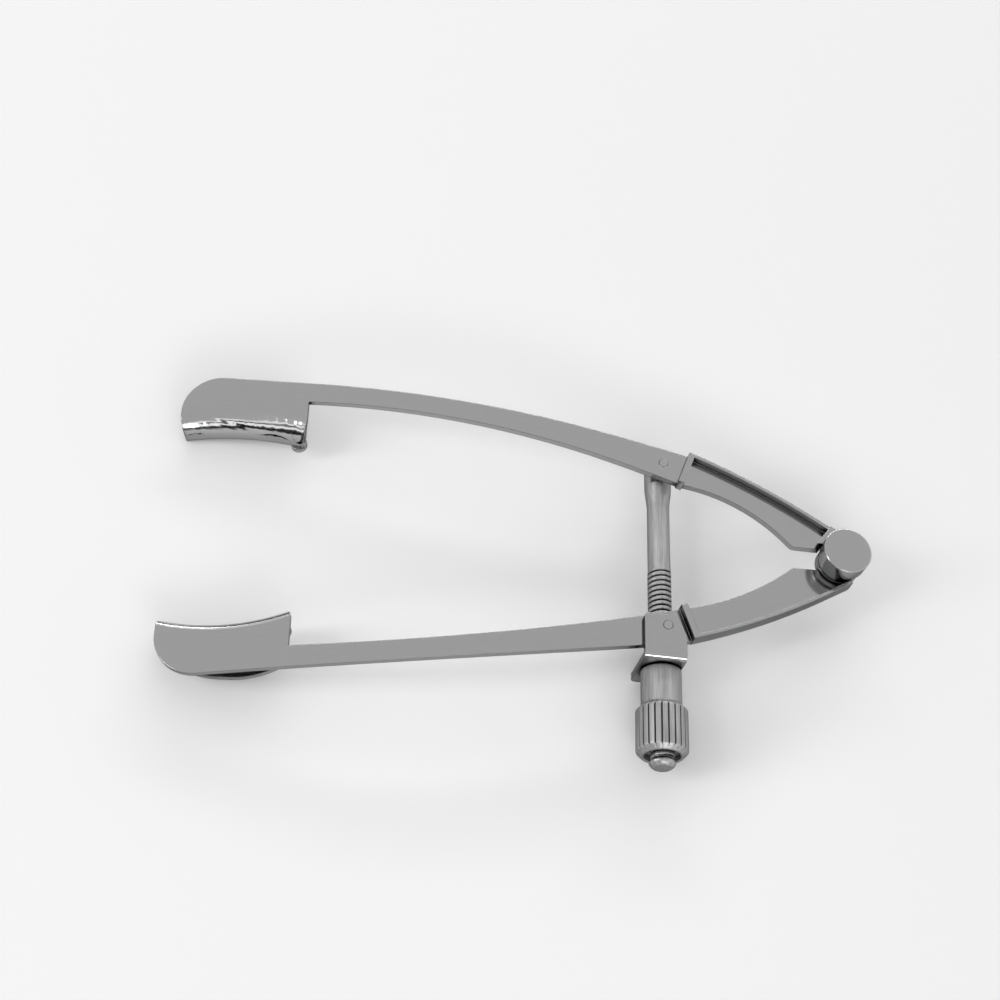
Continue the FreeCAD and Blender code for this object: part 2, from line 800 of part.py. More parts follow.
def build_thumb_nut():
    """Collar and fluted head; the neck runs through the flange. Starts at the flange's outer face."""
    body = add_body("thumb_nut")
    inner = size.screw_radius + size.running_gap
    collar_end = size.side_gap + size.collar_length
    head_end = collar_end + size.head_length
    chamfer = size.head_chamfer
    neck_end = -size.bracket_flange - size.side_gap - size.ring_length
    corners = [
        (inner, neck_end),
        (size.neck_radius, neck_end),
        (size.neck_radius, size.side_gap),
        (size.collar_radius, size.side_gap),
        (size.collar_radius, collar_end),
        (size.head_radius - chamfer, collar_end),
        (size.head_radius, collar_end + chamfer),
        (size.head_radius, head_end - chamfer),
        (size.head_radius - chamfer, head_end),
        (size.head_recess_radius, head_end),
        (size.head_recess_radius, head_end - size.head_recess_depth),
        (inner, head_end - size.head_recess_depth),
    ]
    revolve(body, "turning", corners)
    flute = add_sketch(body, "flute_outline", "XY_Plane", head_end)
    # The groove's sides stand at 45 degrees, so it is as deep as half its width
    bottom = size.head_radius - size.flute_depth
    outside = size.head_radius + size.flute_depth
    half = outside - bottom
    corners = [(bottom, 0.0), (outside, -half), (outside, half)]
    cut = pocket(body, draw_outline(flute, corners), "flute", size.head_length)
    pattern = body.newObject("PartDesign::PolarPattern", "flutes")
    pattern.Originals = [cut]
    pattern.Axis = (flute, ["N_Axis"])
    pattern.Angle = 360.0
    pattern.Occurrences = int(size.flute_count.number)
    pattern.setExpression("Occurrences", size.flute_count.formula)
    body.Tip = pattern
    place(body, -size.pin_x, -size.bracket_outer_y, size.screw_z, 90)
    return body


def build_nut_ring():
    body = add_body("nut_ring")
    inner = size.neck_radius + size.fixed_gap
    start = -size.bracket_flange - size.side_gap
    end = start - size.ring_length
    corners = [(inner, end), (size.ring_radius, end), (size.ring_radius, start), (inner, start)]
    revolve(body, "ring", corners)
    place(body, -size.pin_x, -size.bracket_outer_y, size.screw_z, 90)
    return body


def check_and_export(bodies):
    """Stops on any failed object or bad shape, then writes one file for each piece."""
    document.recompute()
    for item in document.Objects:
        if "Invalid" in item.State or "Error" in item.State:
            raise RuntimeError(f"{item.Label} failed: {item.State}")
    for body in bodies:
        shape = body.Shape
        if shape.isNull() or not shape.isValid() or len(shape.Solids) != 1:
            raise RuntimeError(f"{body.Label} isn't one valid solid")
    os.makedirs("parts", exist_ok=True)
    for body in bodies:
        body.Shape.exportStep(f"parts/{body.Label}.step")
        print(body.Label, round(body.Shape.Volume, 3), "mm3")


check_and_export(
    [
        build_lower_arm(),
        build_upper_arm(),
        build_hinge_rivet(),
        build_hinge_washer(),
        build_adjusting_screw(),
        build_screw_pin(),
        build_swivel_bracket(),
        build_bracket_pin(),
        build_thumb_nut(),
        build_nut_ring(),
    ]
)
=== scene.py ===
import math

import bmesh
import bpy
from mathutils import Matrix, Vector


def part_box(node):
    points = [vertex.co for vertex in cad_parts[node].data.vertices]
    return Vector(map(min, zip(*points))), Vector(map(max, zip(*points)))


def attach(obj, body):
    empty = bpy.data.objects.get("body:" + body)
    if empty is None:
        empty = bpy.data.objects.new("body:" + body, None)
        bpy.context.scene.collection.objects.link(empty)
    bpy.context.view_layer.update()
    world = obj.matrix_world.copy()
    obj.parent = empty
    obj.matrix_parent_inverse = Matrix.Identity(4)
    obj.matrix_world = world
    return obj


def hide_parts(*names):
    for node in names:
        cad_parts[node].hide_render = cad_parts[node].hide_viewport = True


# Eye speculum of polished steel on a pale floor. Sizes are in metres, in the part's own frame:
# the hinge axis is Z, the blades point along -X and the screw runs along -Y.

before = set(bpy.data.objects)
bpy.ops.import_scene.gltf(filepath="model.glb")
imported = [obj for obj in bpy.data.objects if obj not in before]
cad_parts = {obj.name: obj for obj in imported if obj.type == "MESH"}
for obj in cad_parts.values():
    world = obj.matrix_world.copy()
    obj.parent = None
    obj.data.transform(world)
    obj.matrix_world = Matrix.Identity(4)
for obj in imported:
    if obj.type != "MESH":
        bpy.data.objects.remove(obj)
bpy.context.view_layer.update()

MM = 0.001

# A length that counts as nothing, and a step between two points that is too small to see
TINY = 1e-9
SEAM = 1e-7

# Corners of the boxes that the turned pieces are made to
CAP_LOW, CAP_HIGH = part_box("hinge_rivet")
WASHER_LOW, WASHER_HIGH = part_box("hinge_washer")
SCREW_LOW, SCREW_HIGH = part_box("adjusting_screw")
NUT_LOW, NUT_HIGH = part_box("thumb_nut")
RING_LOW, RING_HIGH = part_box("nut_ring")
BRACKET_LOW, BRACKET_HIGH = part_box("swivel_bracket")

# Turned pieces: steps round the axis, and the largest share of a side that a rounding takes
ROUND_STEPS = 96
CORNER_STEPS = 3
CORNER_SHARE = 0.45

# Hinge rivet and washer
SHANK_RADIUS = 0.9 * MM
FOOT_RADIUS = 1.5 * MM
FOOT_HEIGHT = 0.3 * MM
FOOT_EDGE = 0.1 * MM
CAP_HEIGHT = 1.8 * MM
CAP_EDGE = 0.34 * MM
CAP_EDGE_STEPS = 8
CAP_LOWER_EDGE = 0.08 * MM
WASHER_GAP = 0.04 * MM
WASHER_EDGE = 0.04 * MM

# Screw: heights run from its upper pin along -Y
SCREW_AXIS = (SCREW_LOW.x + SCREW_HIGH.x) / 2, (NUT_LOW.z + NUT_HIGH.z) / 2
SCREW_END_RADIUS = 1.5 * MM
SCREW_END_WIDTH = 0.001 * MM
SHAFT_RADIUS = 1.25 * MM
SCREW_RADIUS = 1.3 * MM
TONGUE_THICKNESS = 2.0 * MM
TONGUE_LENGTH = 1.7 * MM
FLARE_LENGTH = 3.0 * MM
FLARE_END = TONGUE_LENGTH + FLARE_LENGTH
SCREW_LENGTH = 35.4 * MM
STUB_LENGTH = 0.9 * MM
STUB_START = SCREW_LENGTH - STUB_LENGTH
SHOULDER_ANGLE = math.radians(50)

# Thread: crest, root and fade are shares of one turn
THREAD_START = 12.3 * MM
THREAD_PITCH = 0.6 * MM
THREAD_DEPTH = 0.22 * MM
THREAD_CREST = 0.5
THREAD_ROOT = 0.08
THREAD_FADE = 0.5
THREAD_END_DEPTH = 0.3

# Rows of points along the screw, and points in each row
END_ROWS = 14
FLARE_ROWS = 8
SHAFT_ROWS = 10
ROWS_PER_TURN = 14
SCREW_STEPS = 72

# Peened end of the screw: radius, and height above the last turn of the thread
STUB_RADIUS = 1.45 * MM
STUB_TIP_RADIUS = 1.12 * MM
STUB_PROFILE = (
    (SCREW_RADIUS - THREAD_DEPTH, 0.02 * MM),
    (SCREW_RADIUS - THREAD_DEPTH, 0.16 * MM),
    (STUB_RADIUS * 0.96, 0.2 * MM),
    (STUB_RADIUS, 0.3 * MM),
    (STUB_RADIUS, 0.45 * MM),
    (STUB_RADIUS * 0.94, 0.6 * MM),
    (STUB_RADIUS * 0.86, 0.75 * MM),
    (STUB_TIP_RADIUS, STUB_LENGTH - 0.05 * MM),
    (STUB_TIP_RADIUS * 0.92, STUB_LENGTH),
    (STUB_TIP_RADIUS * 0.6, STUB_LENGTH),
    (STUB_TIP_RADIUS * 0.3, STUB_LENGTH),
)

# Its dents: size, number round the axis and twist per millimetre of height
STUB_ROUGHNESS = 0.045 * MM
STUB_DENTS = ((1.0, 5, 9), (0.7, 11, 4), (0.5, 17, -9))
DENT_MIDDLE = 0.6
DENT_SWING = 0.45

# Thumb nut: heights run from the flange's outer face along -Y
FLANGE_Y = BRACKET_LOW.y
NECK_RADIUS = 1.7 * MM
COLLAR_RADIUS = 2.2 * MM
COLLAR_LENGTH = 4.2 * MM
SIDE_GAP = 0.05 * MM
HEAD_RADIUS = 2.8 * MM
HEAD_LENGTH = 5.6 * MM
HEAD_CHAMFER = 0.55 * MM
RECESS_RADIUS = 1.95 * MM
RECESS_DEPTH = 0.8 * MM
BORE_RADIUS = 1.34 * MM
NUT_EDGE = 0.12 * MM
NUT_EDGE_STEPS = 4
FLUTES = 24
FLUTE_STEPS = 20
FLUTE_DEPTH = 0.18 * MM
FLUTE_HALF_ANGLE = math.radians(2.2)

# Ring behind the flange
RING_GAP = 0.02 * MM
RING_EDGE = 0.08 * MM

# Solids that are dressed: points this close are one, and edges sharper than this stay sharp
WELD_REACH = 0.0005 * MM
SHARP_ANGLE = math.radians(35)
FLAT_WEIGHT = 80

# Steel: painted shade along edges and top edges, painted shade in inner corners and painted shade on the
# sides, each as a share of its brightness
# its radius rounds the edges' shading normals and sets how wide the painted edge shade is
EDGE_ROUNDING_AND_SHADE = 0.14 * MM
EDGE_TINT = 0.4
PAINTED_EDGE_SHADE = 0.1
EDGE_LIMITS = (0.8, 0.985)
PAINTED_TOP_EDGE_SHADE = 0.4
TOP_EDGE_LIMITS = (0.75, 0.98)
PAINTED_CORNER_SHADE = 0.03
CORNER_LIMITS = (0.5, 0.95)
PAINTED_SIDE_SHADE = 0.62
SIDE_LIMITS = (0.15, 0.75)
EDGE_SAMPLES = 6
CORNER_SAMPLES = 8

# Steel: smudges change its gloss, and fine scratches its brightness and relief
SMUDGE_SCALE = 160.0
SMUDGE_DETAIL = 3.0
SMUDGE_GLOSS = (0.8, 1.25)
SCRATCH_DETAIL = 6.0
SCRATCH_ROUGHNESS = 0.65
SCRATCH_LIMITS = (0.3, 0.7)
SCRATCH_STRENGTH = 0.4
SCRATCH_DEPTH = 0.002 * MM

# Lid blades in their own frame, as the solids have them
BLADE_TILT = math.radians(13.8)
BLADE_LENGTH = 14.2 * MM
BLADE_DEPTH = 3.8 * MM
BLADE_HEEL_Y = 10.6 * MM
BLADE_TIP_Y = 11.8 * MM
WEB_TOP_CURVE = 21.0 * MM
WEB_LOW_CURVE = 42.0 * MM
WEB_REAR_LEAN = 0.46
WEB_REAR_REACH = 1.5 * MM
BEND_RADIUS = 0.95 * MM
BEND_INNER_RADIUS = 0.35 * MM
HEEL_REACH = 59.31 * MM
HEEL_Z = -2.94 * MM

# Wider roll of the upper blade's bend, and how far from its corner the bend reaches
ROLL_RADIUS = 2.5 * MM
ROLL_TIP_RADIUS = 1.95 * MM
ROLL_TIP_REACH = 4.0 * MM
BEND_REACH = 1.3 * MM
BEND_SLACK = 0.05 * MM
FLAT_ANGLE = math.radians(0.1)

# Shallow waves of the blades
HAMMER_SCALE = 450.0
HAMMER_STRETCH = (0.2, 1.0, 1.0)
HAMMER_DETAIL = 2.0
HAMMER_DISTORTION = 0.6
HAMMER_DEPTH = 0.14 * MM
HAMMER_START = 0.1 * MM
HAMMER_FULL = 1.4 * MM
HAMMER_FADE = 0.5 * MM


def clamp(value):
    """Holds a value between 0 and 1."""
    return min(1.0, max(0.0, value))


def mesh_object(name, points, faces, material, body, nodes):
    """Makes a smooth mesh that rides on a body and stands for CAD nodes."""
    mesh = bpy.data.meshes.new(name)
    mesh.from_pydata(points, [], faces)
    mesh.validate()
    mesh.update()
    for polygon in mesh.polygons:
        polygon.use_smooth = True
    piece = bpy.data.objects.new(name, mesh)
    bpy.context.scene.collection.objects.link(piece)
    piece.data.materials.append(material)
    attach(piece, body)
    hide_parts(*nodes)
    return piece


def upright(x, y):
    """Frame of a piece that turns about a vertical axis."""
    return lambda radius, angle, height: Vector(
        (x + radius * math.cos(angle), y + radius * math.sin(angle), height)
    )


def along_screw(start_y):
    """Frame of a piece that turns about the screw: heights run along -Y from a place."""
    x, z = SCREW_AXIS
    return lambda radius, angle, height: Vector(
        (x + radius * math.cos(angle), start_y - height, z + radius * math.sin(angle))
    )


def rounded(profile, radius, steps=CORNER_STEPS):
    """Rounds the inner corners of an open profile of (radius, height) points."""
    points = [profile[0]]
    for before, corner, after in zip(profile, profile[1:], profile[2:]):
        corner_point = Vector(corner)
        back = Vector(before) - corner_point
        on = Vector(after) - corner_point
        reach = min(radius, back.length * CORNER_SHARE, on.length * CORNER_SHARE)
        start = corner_point + back.normalized() * reach
        end = corner_point + on.normalized() * reach
        for step in range(steps + 1):
            share = step / steps
            first = start.lerp(corner_point, share)
            second = corner_point.lerp(end, share)
            points.append(tuple(first.lerp(second, share)))
    points.append(profile[-1])
    return points


def join_rows(low, high):
    """Faces between two rows of points, one of which may be a single point."""
    steps = max(len(low), len(high))
    faces = []
    for step in range(steps):
        following = (step + 1) % steps
        if len(low) == 1:
            faces.append((low[0], high[following], high[step]))
        elif len(high) == 1:
            faces.append((low[step], low[following], high[0]))
        else:
            faces.append((low[step], low[following], high[following], high[step]))
    return faces


def lathe(name, profile, at, material, body, nodes, steps=ROUND_STEPS, shape=None):
    """Turns a profile round an axis; shape may move each point by (radius, angle, height)."""
    points = []
    rows = []
    for radius, height in profile:
        if radius < TINY:
            rows.append([len(points)])
            points.append(at(0.0, 0.0, height))
            continue
        row = []
        for step in range(steps):
            angle = 2 * math.pi * step / steps
            new_radius = shape(radius, angle, height) if shape else radius
            row.append(len(points))
            points.append(at(new_radius, angle, height))
        rows.append(row)
    pairs = list(zip(rows, rows[1:]))
    if len(rows[0]) > 1 and len(rows[-1]) > 1:
        pairs.append((rows[-1], rows[0]))
    faces = [face for low, high in pairs for face in join_rows(low, high)]
    return mesh_object(name, points, faces, material, body, nodes)


def add_node(tree, kind, **inputs):
    """Adds a shader node and sets or links the inputs that are named."""
    node = tree.nodes.new(kind)
    for name, value in inputs.items():
        socket = node.inputs[name.replace("_", " ")]
        if isinstance(value, bpy.types.NodeSocket):
            tree.links.new(value, socket)
        else:
            socket.default_value = value
    return node


def work_out(tree, kind, operation, *values):
    """Adds a math node; each value is a socket, a number or a vector."""
    node = tree.nodes.new(kind)
    node.operation = operation
    for socket, value in zip(node.inputs, values):
        if isinstance(value, bpy.types.NodeSocket):
            tree.links.new(value, socket)
        else:
            socket.default_value = value
    return node


def times(tree, first, second):
    """Product of two values, either of which may be a number."""
    return work_out(tree, "ShaderNodeMath", "MULTIPLY", first, second).outputs["Value"]


def remap(tree, value, limits, to_low, to_high):
    """Maps the range between two limits to another one and holds it at both ends."""
    low, high = limits
    node = add_node(
        tree,
        "ShaderNodeMapRange",
        Value=value,
        From_Min=low,
        From_Max=high,
        To_Min=to_low,
        To_Max=to_high,
    )
    return node.outputs["Result"]


def steel(name, tone, roughness, stretch, grain, streaks, corner_reach, bright):
    """Steel with fine grain, smudges, rounded edges, painted shade in inner corners and painted shade on
    the sides.

    Bright steel has painted shade along its edges, painted shade in its corners on its sides alone, and
    waves on its blades.
    """
    material = bpy.data.materials.new(name)
    material.use_nodes = True
    tree = material.node_tree
    shader = tree.nodes["Principled BSDF"]
    shader.inputs["Metallic"].default_value = 1.0
    shader.inputs["Specular Tint"].default_value = (EDGE_TINT, EDGE_TINT, EDGE_TINT, 1.0)
    place = add_node(tree, "ShaderNodeTexCoord")

    stretched = add_node(tree, "ShaderNodeMapping", Vector=place.outputs["Object"], Scale=stretch)
    scratches = add_node(
        tree,
        "ShaderNodeTexNoise",
        Vector=stretched.outputs["Vector"],
        Scale=grain,
        Detail=SCRATCH_DETAIL,
        Roughness=SCRATCH_ROUGHNESS,
    ).outputs["Fac"]
    smudges = add_node(
        tree,
        "ShaderNodeTexNoise",
        Vector=place.outputs["Object"],
        Scale=SMUDGE_SCALE,
        Detail=SMUDGE_DETAIL,
    ).outputs["Fac"]
    glossier, duller = SMUDGE_GLOSS
    gloss = remap(tree, smudges, (0.0, 1.0), roughness * glossier, roughness * duller)
    tree.links.new(gloss, shader.inputs["Roughness"])

    facing = add_node(tree, "ShaderNodeSeparateXYZ", Vector=place.outputs["Normal"])
    upward = work_out(tree, "ShaderNodeMath", "ABSOLUTE", facing.outputs["Z"]).outputs["Value"]
    soft_edge = add_node(tree, "ShaderNodeBevel", Radius=EDGE_ROUNDING_AND_SHADE)
    soft_edge.samples = EDGE_SAMPLES
    surface = add_node(tree, "ShaderNodeNewGeometry")
    aligned = work_out(
        tree, "ShaderNodeVectorMath", "DOT_PRODUCT", soft_edge.outputs["Normal"], surface.outputs["Normal"]
    ).outputs["Value"]
    # Painted shade: near edges, where the rounded normal turns away from the face, the colour is darkened
    edge = remap(tree, aligned, EDGE_LIMITS, PAINTED_EDGE_SHADE, 1.0)
    # Painted shade: inner corners are darkened by how much nearby surfaces hem them in
    occlusion = add_node(tree, "ShaderNodeAmbientOcclusion", Distance=corner_reach)
    occlusion.samples = CORNER_SAMPLES
    corner = remap(tree, occlusion.outputs["AO"], CORNER_LIMITS, PAINTED_CORNER_SHADE, 1.0)
    grey = remap(tree, scratches, SCRATCH_LIMITS, 1.0 - streaks, 1.0)
    if bright:
        side = times(tree, times(tree, corner, edge), PAINTED_SIDE_SHADE)
        # Painted shade: a thin dark line along the edges of the tops
        grey = times(tree, grey, remap(tree, aligned, TOP_EDGE_LIMITS, PAINTED_TOP_EDGE_SHADE, 1.0))
    else:
        grey = times(tree, grey, corner)
        side = PAINTED_SIDE_SHADE
    # Painted shade: faces that turn away from up and down, the sides, are made darker than the tops
    grey = times(tree, grey, remap(tree, upward, SIDE_LIMITS, side, 1.0))
    colour = add_node(tree, "ShaderNodeMix")
    colour.data_type = "RGBA"
    colour.blend_type = "MULTIPLY"
    colour.inputs["Factor"].default_value = 1.0
    colour.inputs["A"].default_value = (*tone, 1.0)
    tree.links.new(grey, colour.inputs["B"])
    tree.links.new(colour.outputs["Result"], shader.inputs["Base Color"])

    normal = soft_edge.outputs["Normal"]
    if bright:
        waves = hammered(tree, place)
        bent = add_node(tree, "ShaderNodeBump", Distance=HAMMER_DEPTH, Height=waves, Normal=normal)
        normal = bent.outputs["Normal"]
    relief = add_node(
        tree,
        "ShaderNodeBump",
        Strength=SCRATCH_STRENGTH,
        Distance=SCRATCH_DEPTH,
        Height=scratches,
        Normal=normal,
    )
    tree.links.new(relief.outputs["Normal"], shader.inputs["Normal"])
    return material


def hammered(tree, place):
    """Heights of the blades' long shallow waves, which fade out towards the flat plates."""
    at = add_node(tree, "ShaderNodeSeparateXYZ", Vector=place.outputs["Object"])
    swell = add_node(tree, "ShaderNodeMapping", Vector=place.outputs["Object"], Scale=HAMMER_STRETCH)
    waves = add_node(
        tree,
        "ShaderNodeTexNoise",
        Vector=swell.outputs["Vector"],
        Scale=HAMMER_SCALE,
        Detail=HAMMER_DETAIL,
        Distortion=HAMMER_DISTORTION,
    ).outputs["Fac"]
    sine, cosine = math.sin(BLADE_TILT), math.cos(BLADE_TILT)
    lowness = work_out(
        tree, "ShaderNodeVectorMath", "DOT_PRODUCT", place.outputs["Object"], (sine, 0.0, -cosine)
    ).outputs["Value"]
    plate_top = -HEEL_REACH * sine - HEEL_Z * cosine
    below = remap(tree, lowness, (plate_top + HAMMER_START, plate_top + HAMMER_FULL), 0.0, 1.0)
    on_blade = remap(tree, at.outputs["X"], (-HEEL_REACH - HAMMER_FADE, -HEEL_REACH), 1.0, 0.0)
    return times(tree, waves, times(tree, on_blade, below))


polished = steel(
    "polished_steel",
    tone=(0.60, 0.602, 0.605),
    roughness=0.13,
    stretch=(1, 12, 1),
    grain=700.0,
    streaks=0.05,
    corner_reach=1.0 * MM,
    bright=True,
)
satin = steel(
    "satin_steel",
    tone=(0.63, 0.632, 0.63),
    roughness=0.46,
    stretch=(6, 0.3, 6),
    grain=700.0,
    streaks=0.4,
    corner_reach=0.35 * MM,
    bright=False,
)
turned = steel(
    "turned_steel",
    tone=(0.60, 0.602, 0.605),
    roughness=0.2,
    stretch=(6, 6, 1),
    grain=2200.0,
    streaks=0.05,
    corner_reach=0.35 * MM,
    bright=True,
)


def web_face(along, depth):
    """Distance of a web's outer face from the middle plane, at a place in the blade's frame."""
    share = depth / BLADE_DEPTH
    place = along + BLADE_LENGTH / 2
    rise = BLADE_TIP_Y - BLADE_HEEL_Y
    chord = (BLADE_HEEL_Y + BLADE_TIP_Y) / 2 - place * rise / BLADE_LENGTH
    half = math.hypot(BLADE_LENGTH, rise) / 2

    def bulge(radius):
        return math.sqrt(radius ** 2 - place ** 2) - math.sqrt(radius ** 2 - half ** 2)

    return chord + (1 - share) * bulge(WEB_TOP_CURVE) + share * bulge(WEB_LOW_CURVE)


def widen_bend(along, depth, across):
    """Moves a place on the bend away from the corner, to where the wider roll has it."""
    from_tip = clamp((along + BLADE_LENGTH) / ROLL_TIP_REACH)
    growth = ROLL_TIP_RADIUS + (ROLL_RADIUS - ROLL_TIP_RADIUS) * from_tip - BEND_RADIUS
    middle_radius = (BEND_RADIUS + BEND_INNER_RADIUS) / 2
    outside = math.hypot(BEND_RADIUS - depth, BEND_RADIUS - across) > middle_radius
    skin = BEND_RADIUS if outside else BEND_INNER_RADIUS
    turn = math.asin(clamp((BEND_RADIUS - depth) / skin))
    drop = growth * (1 - math.sin(turn))
    if along > -WEB_REAR_REACH:
        along -= drop * WEB_REAR_LEAN
    return along, depth + drop, across + growth * (1 - math.cos(turn))


def roll_arm(name):
    """Copies an arm and rolls the bend between the plate and the web of its blade wider."""
    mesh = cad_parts[name].data.copy()
    work = bmesh.new()
    work.from_mesh(mesh)
    bmesh.ops.remove_doubles(work, verts=work.verts, dist=WELD_REACH)
    bmesh.ops.dissolve_limit(work, angle_limit=FLAT_ANGLE, verts=work.verts, edges=work.edges)
    sine, cosine = math.sin(BLADE_TILT), math.cos(BLADE_TILT)
    for vertex in work.verts:
        x, y, z = vertex.co
        along = (x + HEEL_REACH) * cosine + (z - HEEL_Z) * sine
        depth = (x + HEEL_REACH) * sine - (z - HEEL_Z) * cosine
        on_blade = -BLADE_LENGTH - BEND_SLACK < along < BEND_SLACK
        if not (on_blade and -BEND_SLACK < depth < BEND_REACH):
            continue
        across = abs(y) - web_face(along, depth)
        if not -BEND_SLACK < across < BEND_REACH:
            continue
        along, depth, across = widen_bend(along, depth, across)
        vertex.co = (
            along * cosine + depth * sine - HEEL_REACH,
            math.copysign(web_face(along, depth) + across, y),
            along * sine - depth * cosine + HEEL_Z,
        )
    work.to_mesh(mesh)
    work.free()
    mesh.update()
    piece = bpy.data.objects.new(name + "_rolled", mesh)
    bpy.context.scene.collection.objects.link(piece)
    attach(piece, name)
    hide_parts(name)
    return piece


def dress_cad_node(name, material):
    """Gives a CAD node its steel; flat faces stay flat and round ones shade smoothly."""
    node = roll_arm(name) if name == "upper_arm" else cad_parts[name]
    if not node.material_slots:
        node.data.materials.append(material)
    for place in node.material_slots:
        place.material = material
    for polygon in node.data.polygons:
        polygon.use_smooth = True
    weld = node.modifiers.new("weld", "WELD")
    weld.merge_threshold = WELD_REACH
    edges = node.modifiers.new("sharp_edges", "EDGE_SPLIT")
    edges.split_angle = SHARP_ANGLE
    flat = node.modifiers.new("flat_faces", "WEIGHTED_NORMAL")
    flat.keep_sharp = False
    flat.weight = FLAT_WEIGHT
    return node


def build_rivet():
    """Turns the rivet: its peened foot, its shank and the cap with a rounded edge."""
    low, high = CAP_LOW.z, CAP_HIGH.z
    cap_radius = CAP_HIGH.x
    cap_bottom = high - CAP_HEIGHT
    foot_top = low + FOOT_HEIGHT
    edge_start = high - CAP_EDGE
    foot = rounded(
        [(0.0, low), (FOOT_RADIUS, low), (FOOT_RADIUS, foot_top), (SHANK_RADIUS, foot_top)], FOOT_EDGE
    )
    under = rounded(
        [(SHANK_RADIUS, cap_bottom), (cap_radius, cap_bottom), (cap_radius, edge_start)], CAP_LOWER_EDGE
    )
    top = rounded([(cap_radius, edge_start), (cap_radius, high), (0.0, high)], CAP_EDGE, CAP_EDGE_STEPS)
    profile = foot + [(SHANK_RADIUS, cap_bottom)] + under[1:] + top[1:]
    return lathe(
        "hinge_rivet_turned", profile, upright(0, 0), polished, "lower_arm", ["hinge_rivet"]
    )


def ring_profile(inner, outer, start, end, edge):
    """Profile of a ring with rounded edges, whose seam lies halfway up the inside."""
    middle = (start + end) / 2
    corners = [
        (inner, middle),
        (inner, start),
        (outer, start),
        (outer, end),
        (inner, end),
        (inner, middle + SEAM),
    ]
    return rounded(corners, edge)


def build_washer():
    """Turns the thin washer between the two arms."""
    inner = SHANK_RADIUS + WASHER_GAP
    profile = ring_profile(inner, WASHER_HIGH.x, WASHER_LOW.z, WASHER_HIGH.z, WASHER_EDGE)
    return lathe(
        "hinge_washer_ring", profile, upright(0, 0), satin, "lower_arm", ["hinge_washer"]
    )


def build_ring():
    """Turns the ring that keeps the nut in the flange."""
    outer = (RING_HIGH.x - RING_LOW.x) / 2
    start = FLANGE_Y - RING_HIGH.y
    end = FLANGE_Y - RING_LOW.y
    profile = ring_profile(NECK_RADIUS + RING_GAP, outer, start, end, RING_EDGE)
    return lathe(
        "nut_ring_turned", profile, along_screw(FLANGE_Y), satin, "nut", ["nut_ring"]
    )


def even_heights(start, end, count):
    """Even heights from a start up to an end, without the end itself."""
    return [start + (end - start) * index / count for index in range(count)]


def screw_heights():
    """Heights of the screw's rows, from its round end to the last turn of its thread."""
    turns = (STUB_START - THREAD_START) / THREAD_PITCH
    return (
        even_heights(-SCREW_END_RADIUS, TONGUE_LENGTH, END_ROWS)
        + [TONGUE_LENGTH - SEAM]
        + even_heights(TONGUE_LENGTH, FLARE_END, FLARE_ROWS)
        + even_heights(FLARE_END, THREAD_START, SHAFT_ROWS)
        + even_heights(THREAD_START, STUB_START, int(turns * ROWS_PER_TURN))
        + [STUB_START]
    )


def shaft_radius(height):
    """Radius of the tongue's round end, the flare and the plain shank."""
    if height < TONGUE_LENGTH:
        return SCREW_END_RADIUS
    if height < FLARE_END:
        share = (height - TONGUE_LENGTH) / FLARE_LENGTH
        ease = share * share * (3 - 2 * share)
        return SCREW_END_RADIUS + (SHAFT_RADIUS - SCREW_END_RADIUS) * ease
    return SHAFT_RADIUS


def thread_depth(turn):
    """Depth below the crest at a place along the turn, from 0 to 1: crest, flank, root, flank."""
    place = turn % 1.0
    flank = (1 - THREAD_CREST - THREAD_ROOT) / 2
    if place < THREAD_CREST / 2 or place > 1 - THREAD_CREST / 2:
        return 0.0
    if place < THREAD_CREST / 2 + flank:
        return (place - THREAD_CREST / 2) / flank
    if place < THREAD_CREST / 2 + flank + THREAD_ROOT:
        return 1.0
    return (1 - THREAD_CREST / 2 - place) / flank


def threaded_radius(height, angle):
    """Radius of the thread, which fades in from the shank and out towards the peened end."""
    turn = (height - THREAD_START) / THREAD_PITCH - angle / (2 * math.pi)
    to_stub = (STUB_START - height) / (THREAD_FADE * THREAD_PITCH)
    fade = clamp(turn + THREAD_FADE) * min(1.0, max(0.0, to_stub) + THREAD_END_DEPTH)
    crest = SCREW_RADIUS - (SCREW_RADIUS - SHAFT_RADIUS) * (1 - fade)
    return crest - THREAD_DEPTH * fade * thread_depth(turn)


def screw_skin(height, angle):
    """Place on the screw's skin, as distances across and up from its axis."""
    radius = threaded_radius(height, angle) if height >= THREAD_START else shaft_radius(height)
    across = radius * math.cos(angle)
    up = radius * math.sin(angle)
    if height < 0:
        reach = math.sqrt(max(SCREW_END_RADIUS ** 2 - height ** 2, SCREW_END_WIDTH ** 2))
        across = max(-reach, min(reach, across))
    if height < TONGUE_LENGTH - SEAM / 2:
        half = TONGUE_THICKNESS / 2
        up = max(-half, min(half, up))
    return across, up


def dented(radius, height, angle):
    """Radius of the peened end with its dents."""
    dent = sum(size * math.sin(count * angle + twist * height / MM) for size, count, twist in STUB_DENTS)
    return radius - STUB_ROUGHNESS * (DENT_MIDDLE + DENT_SWING * dent) * (radius / STUB_RADIUS)


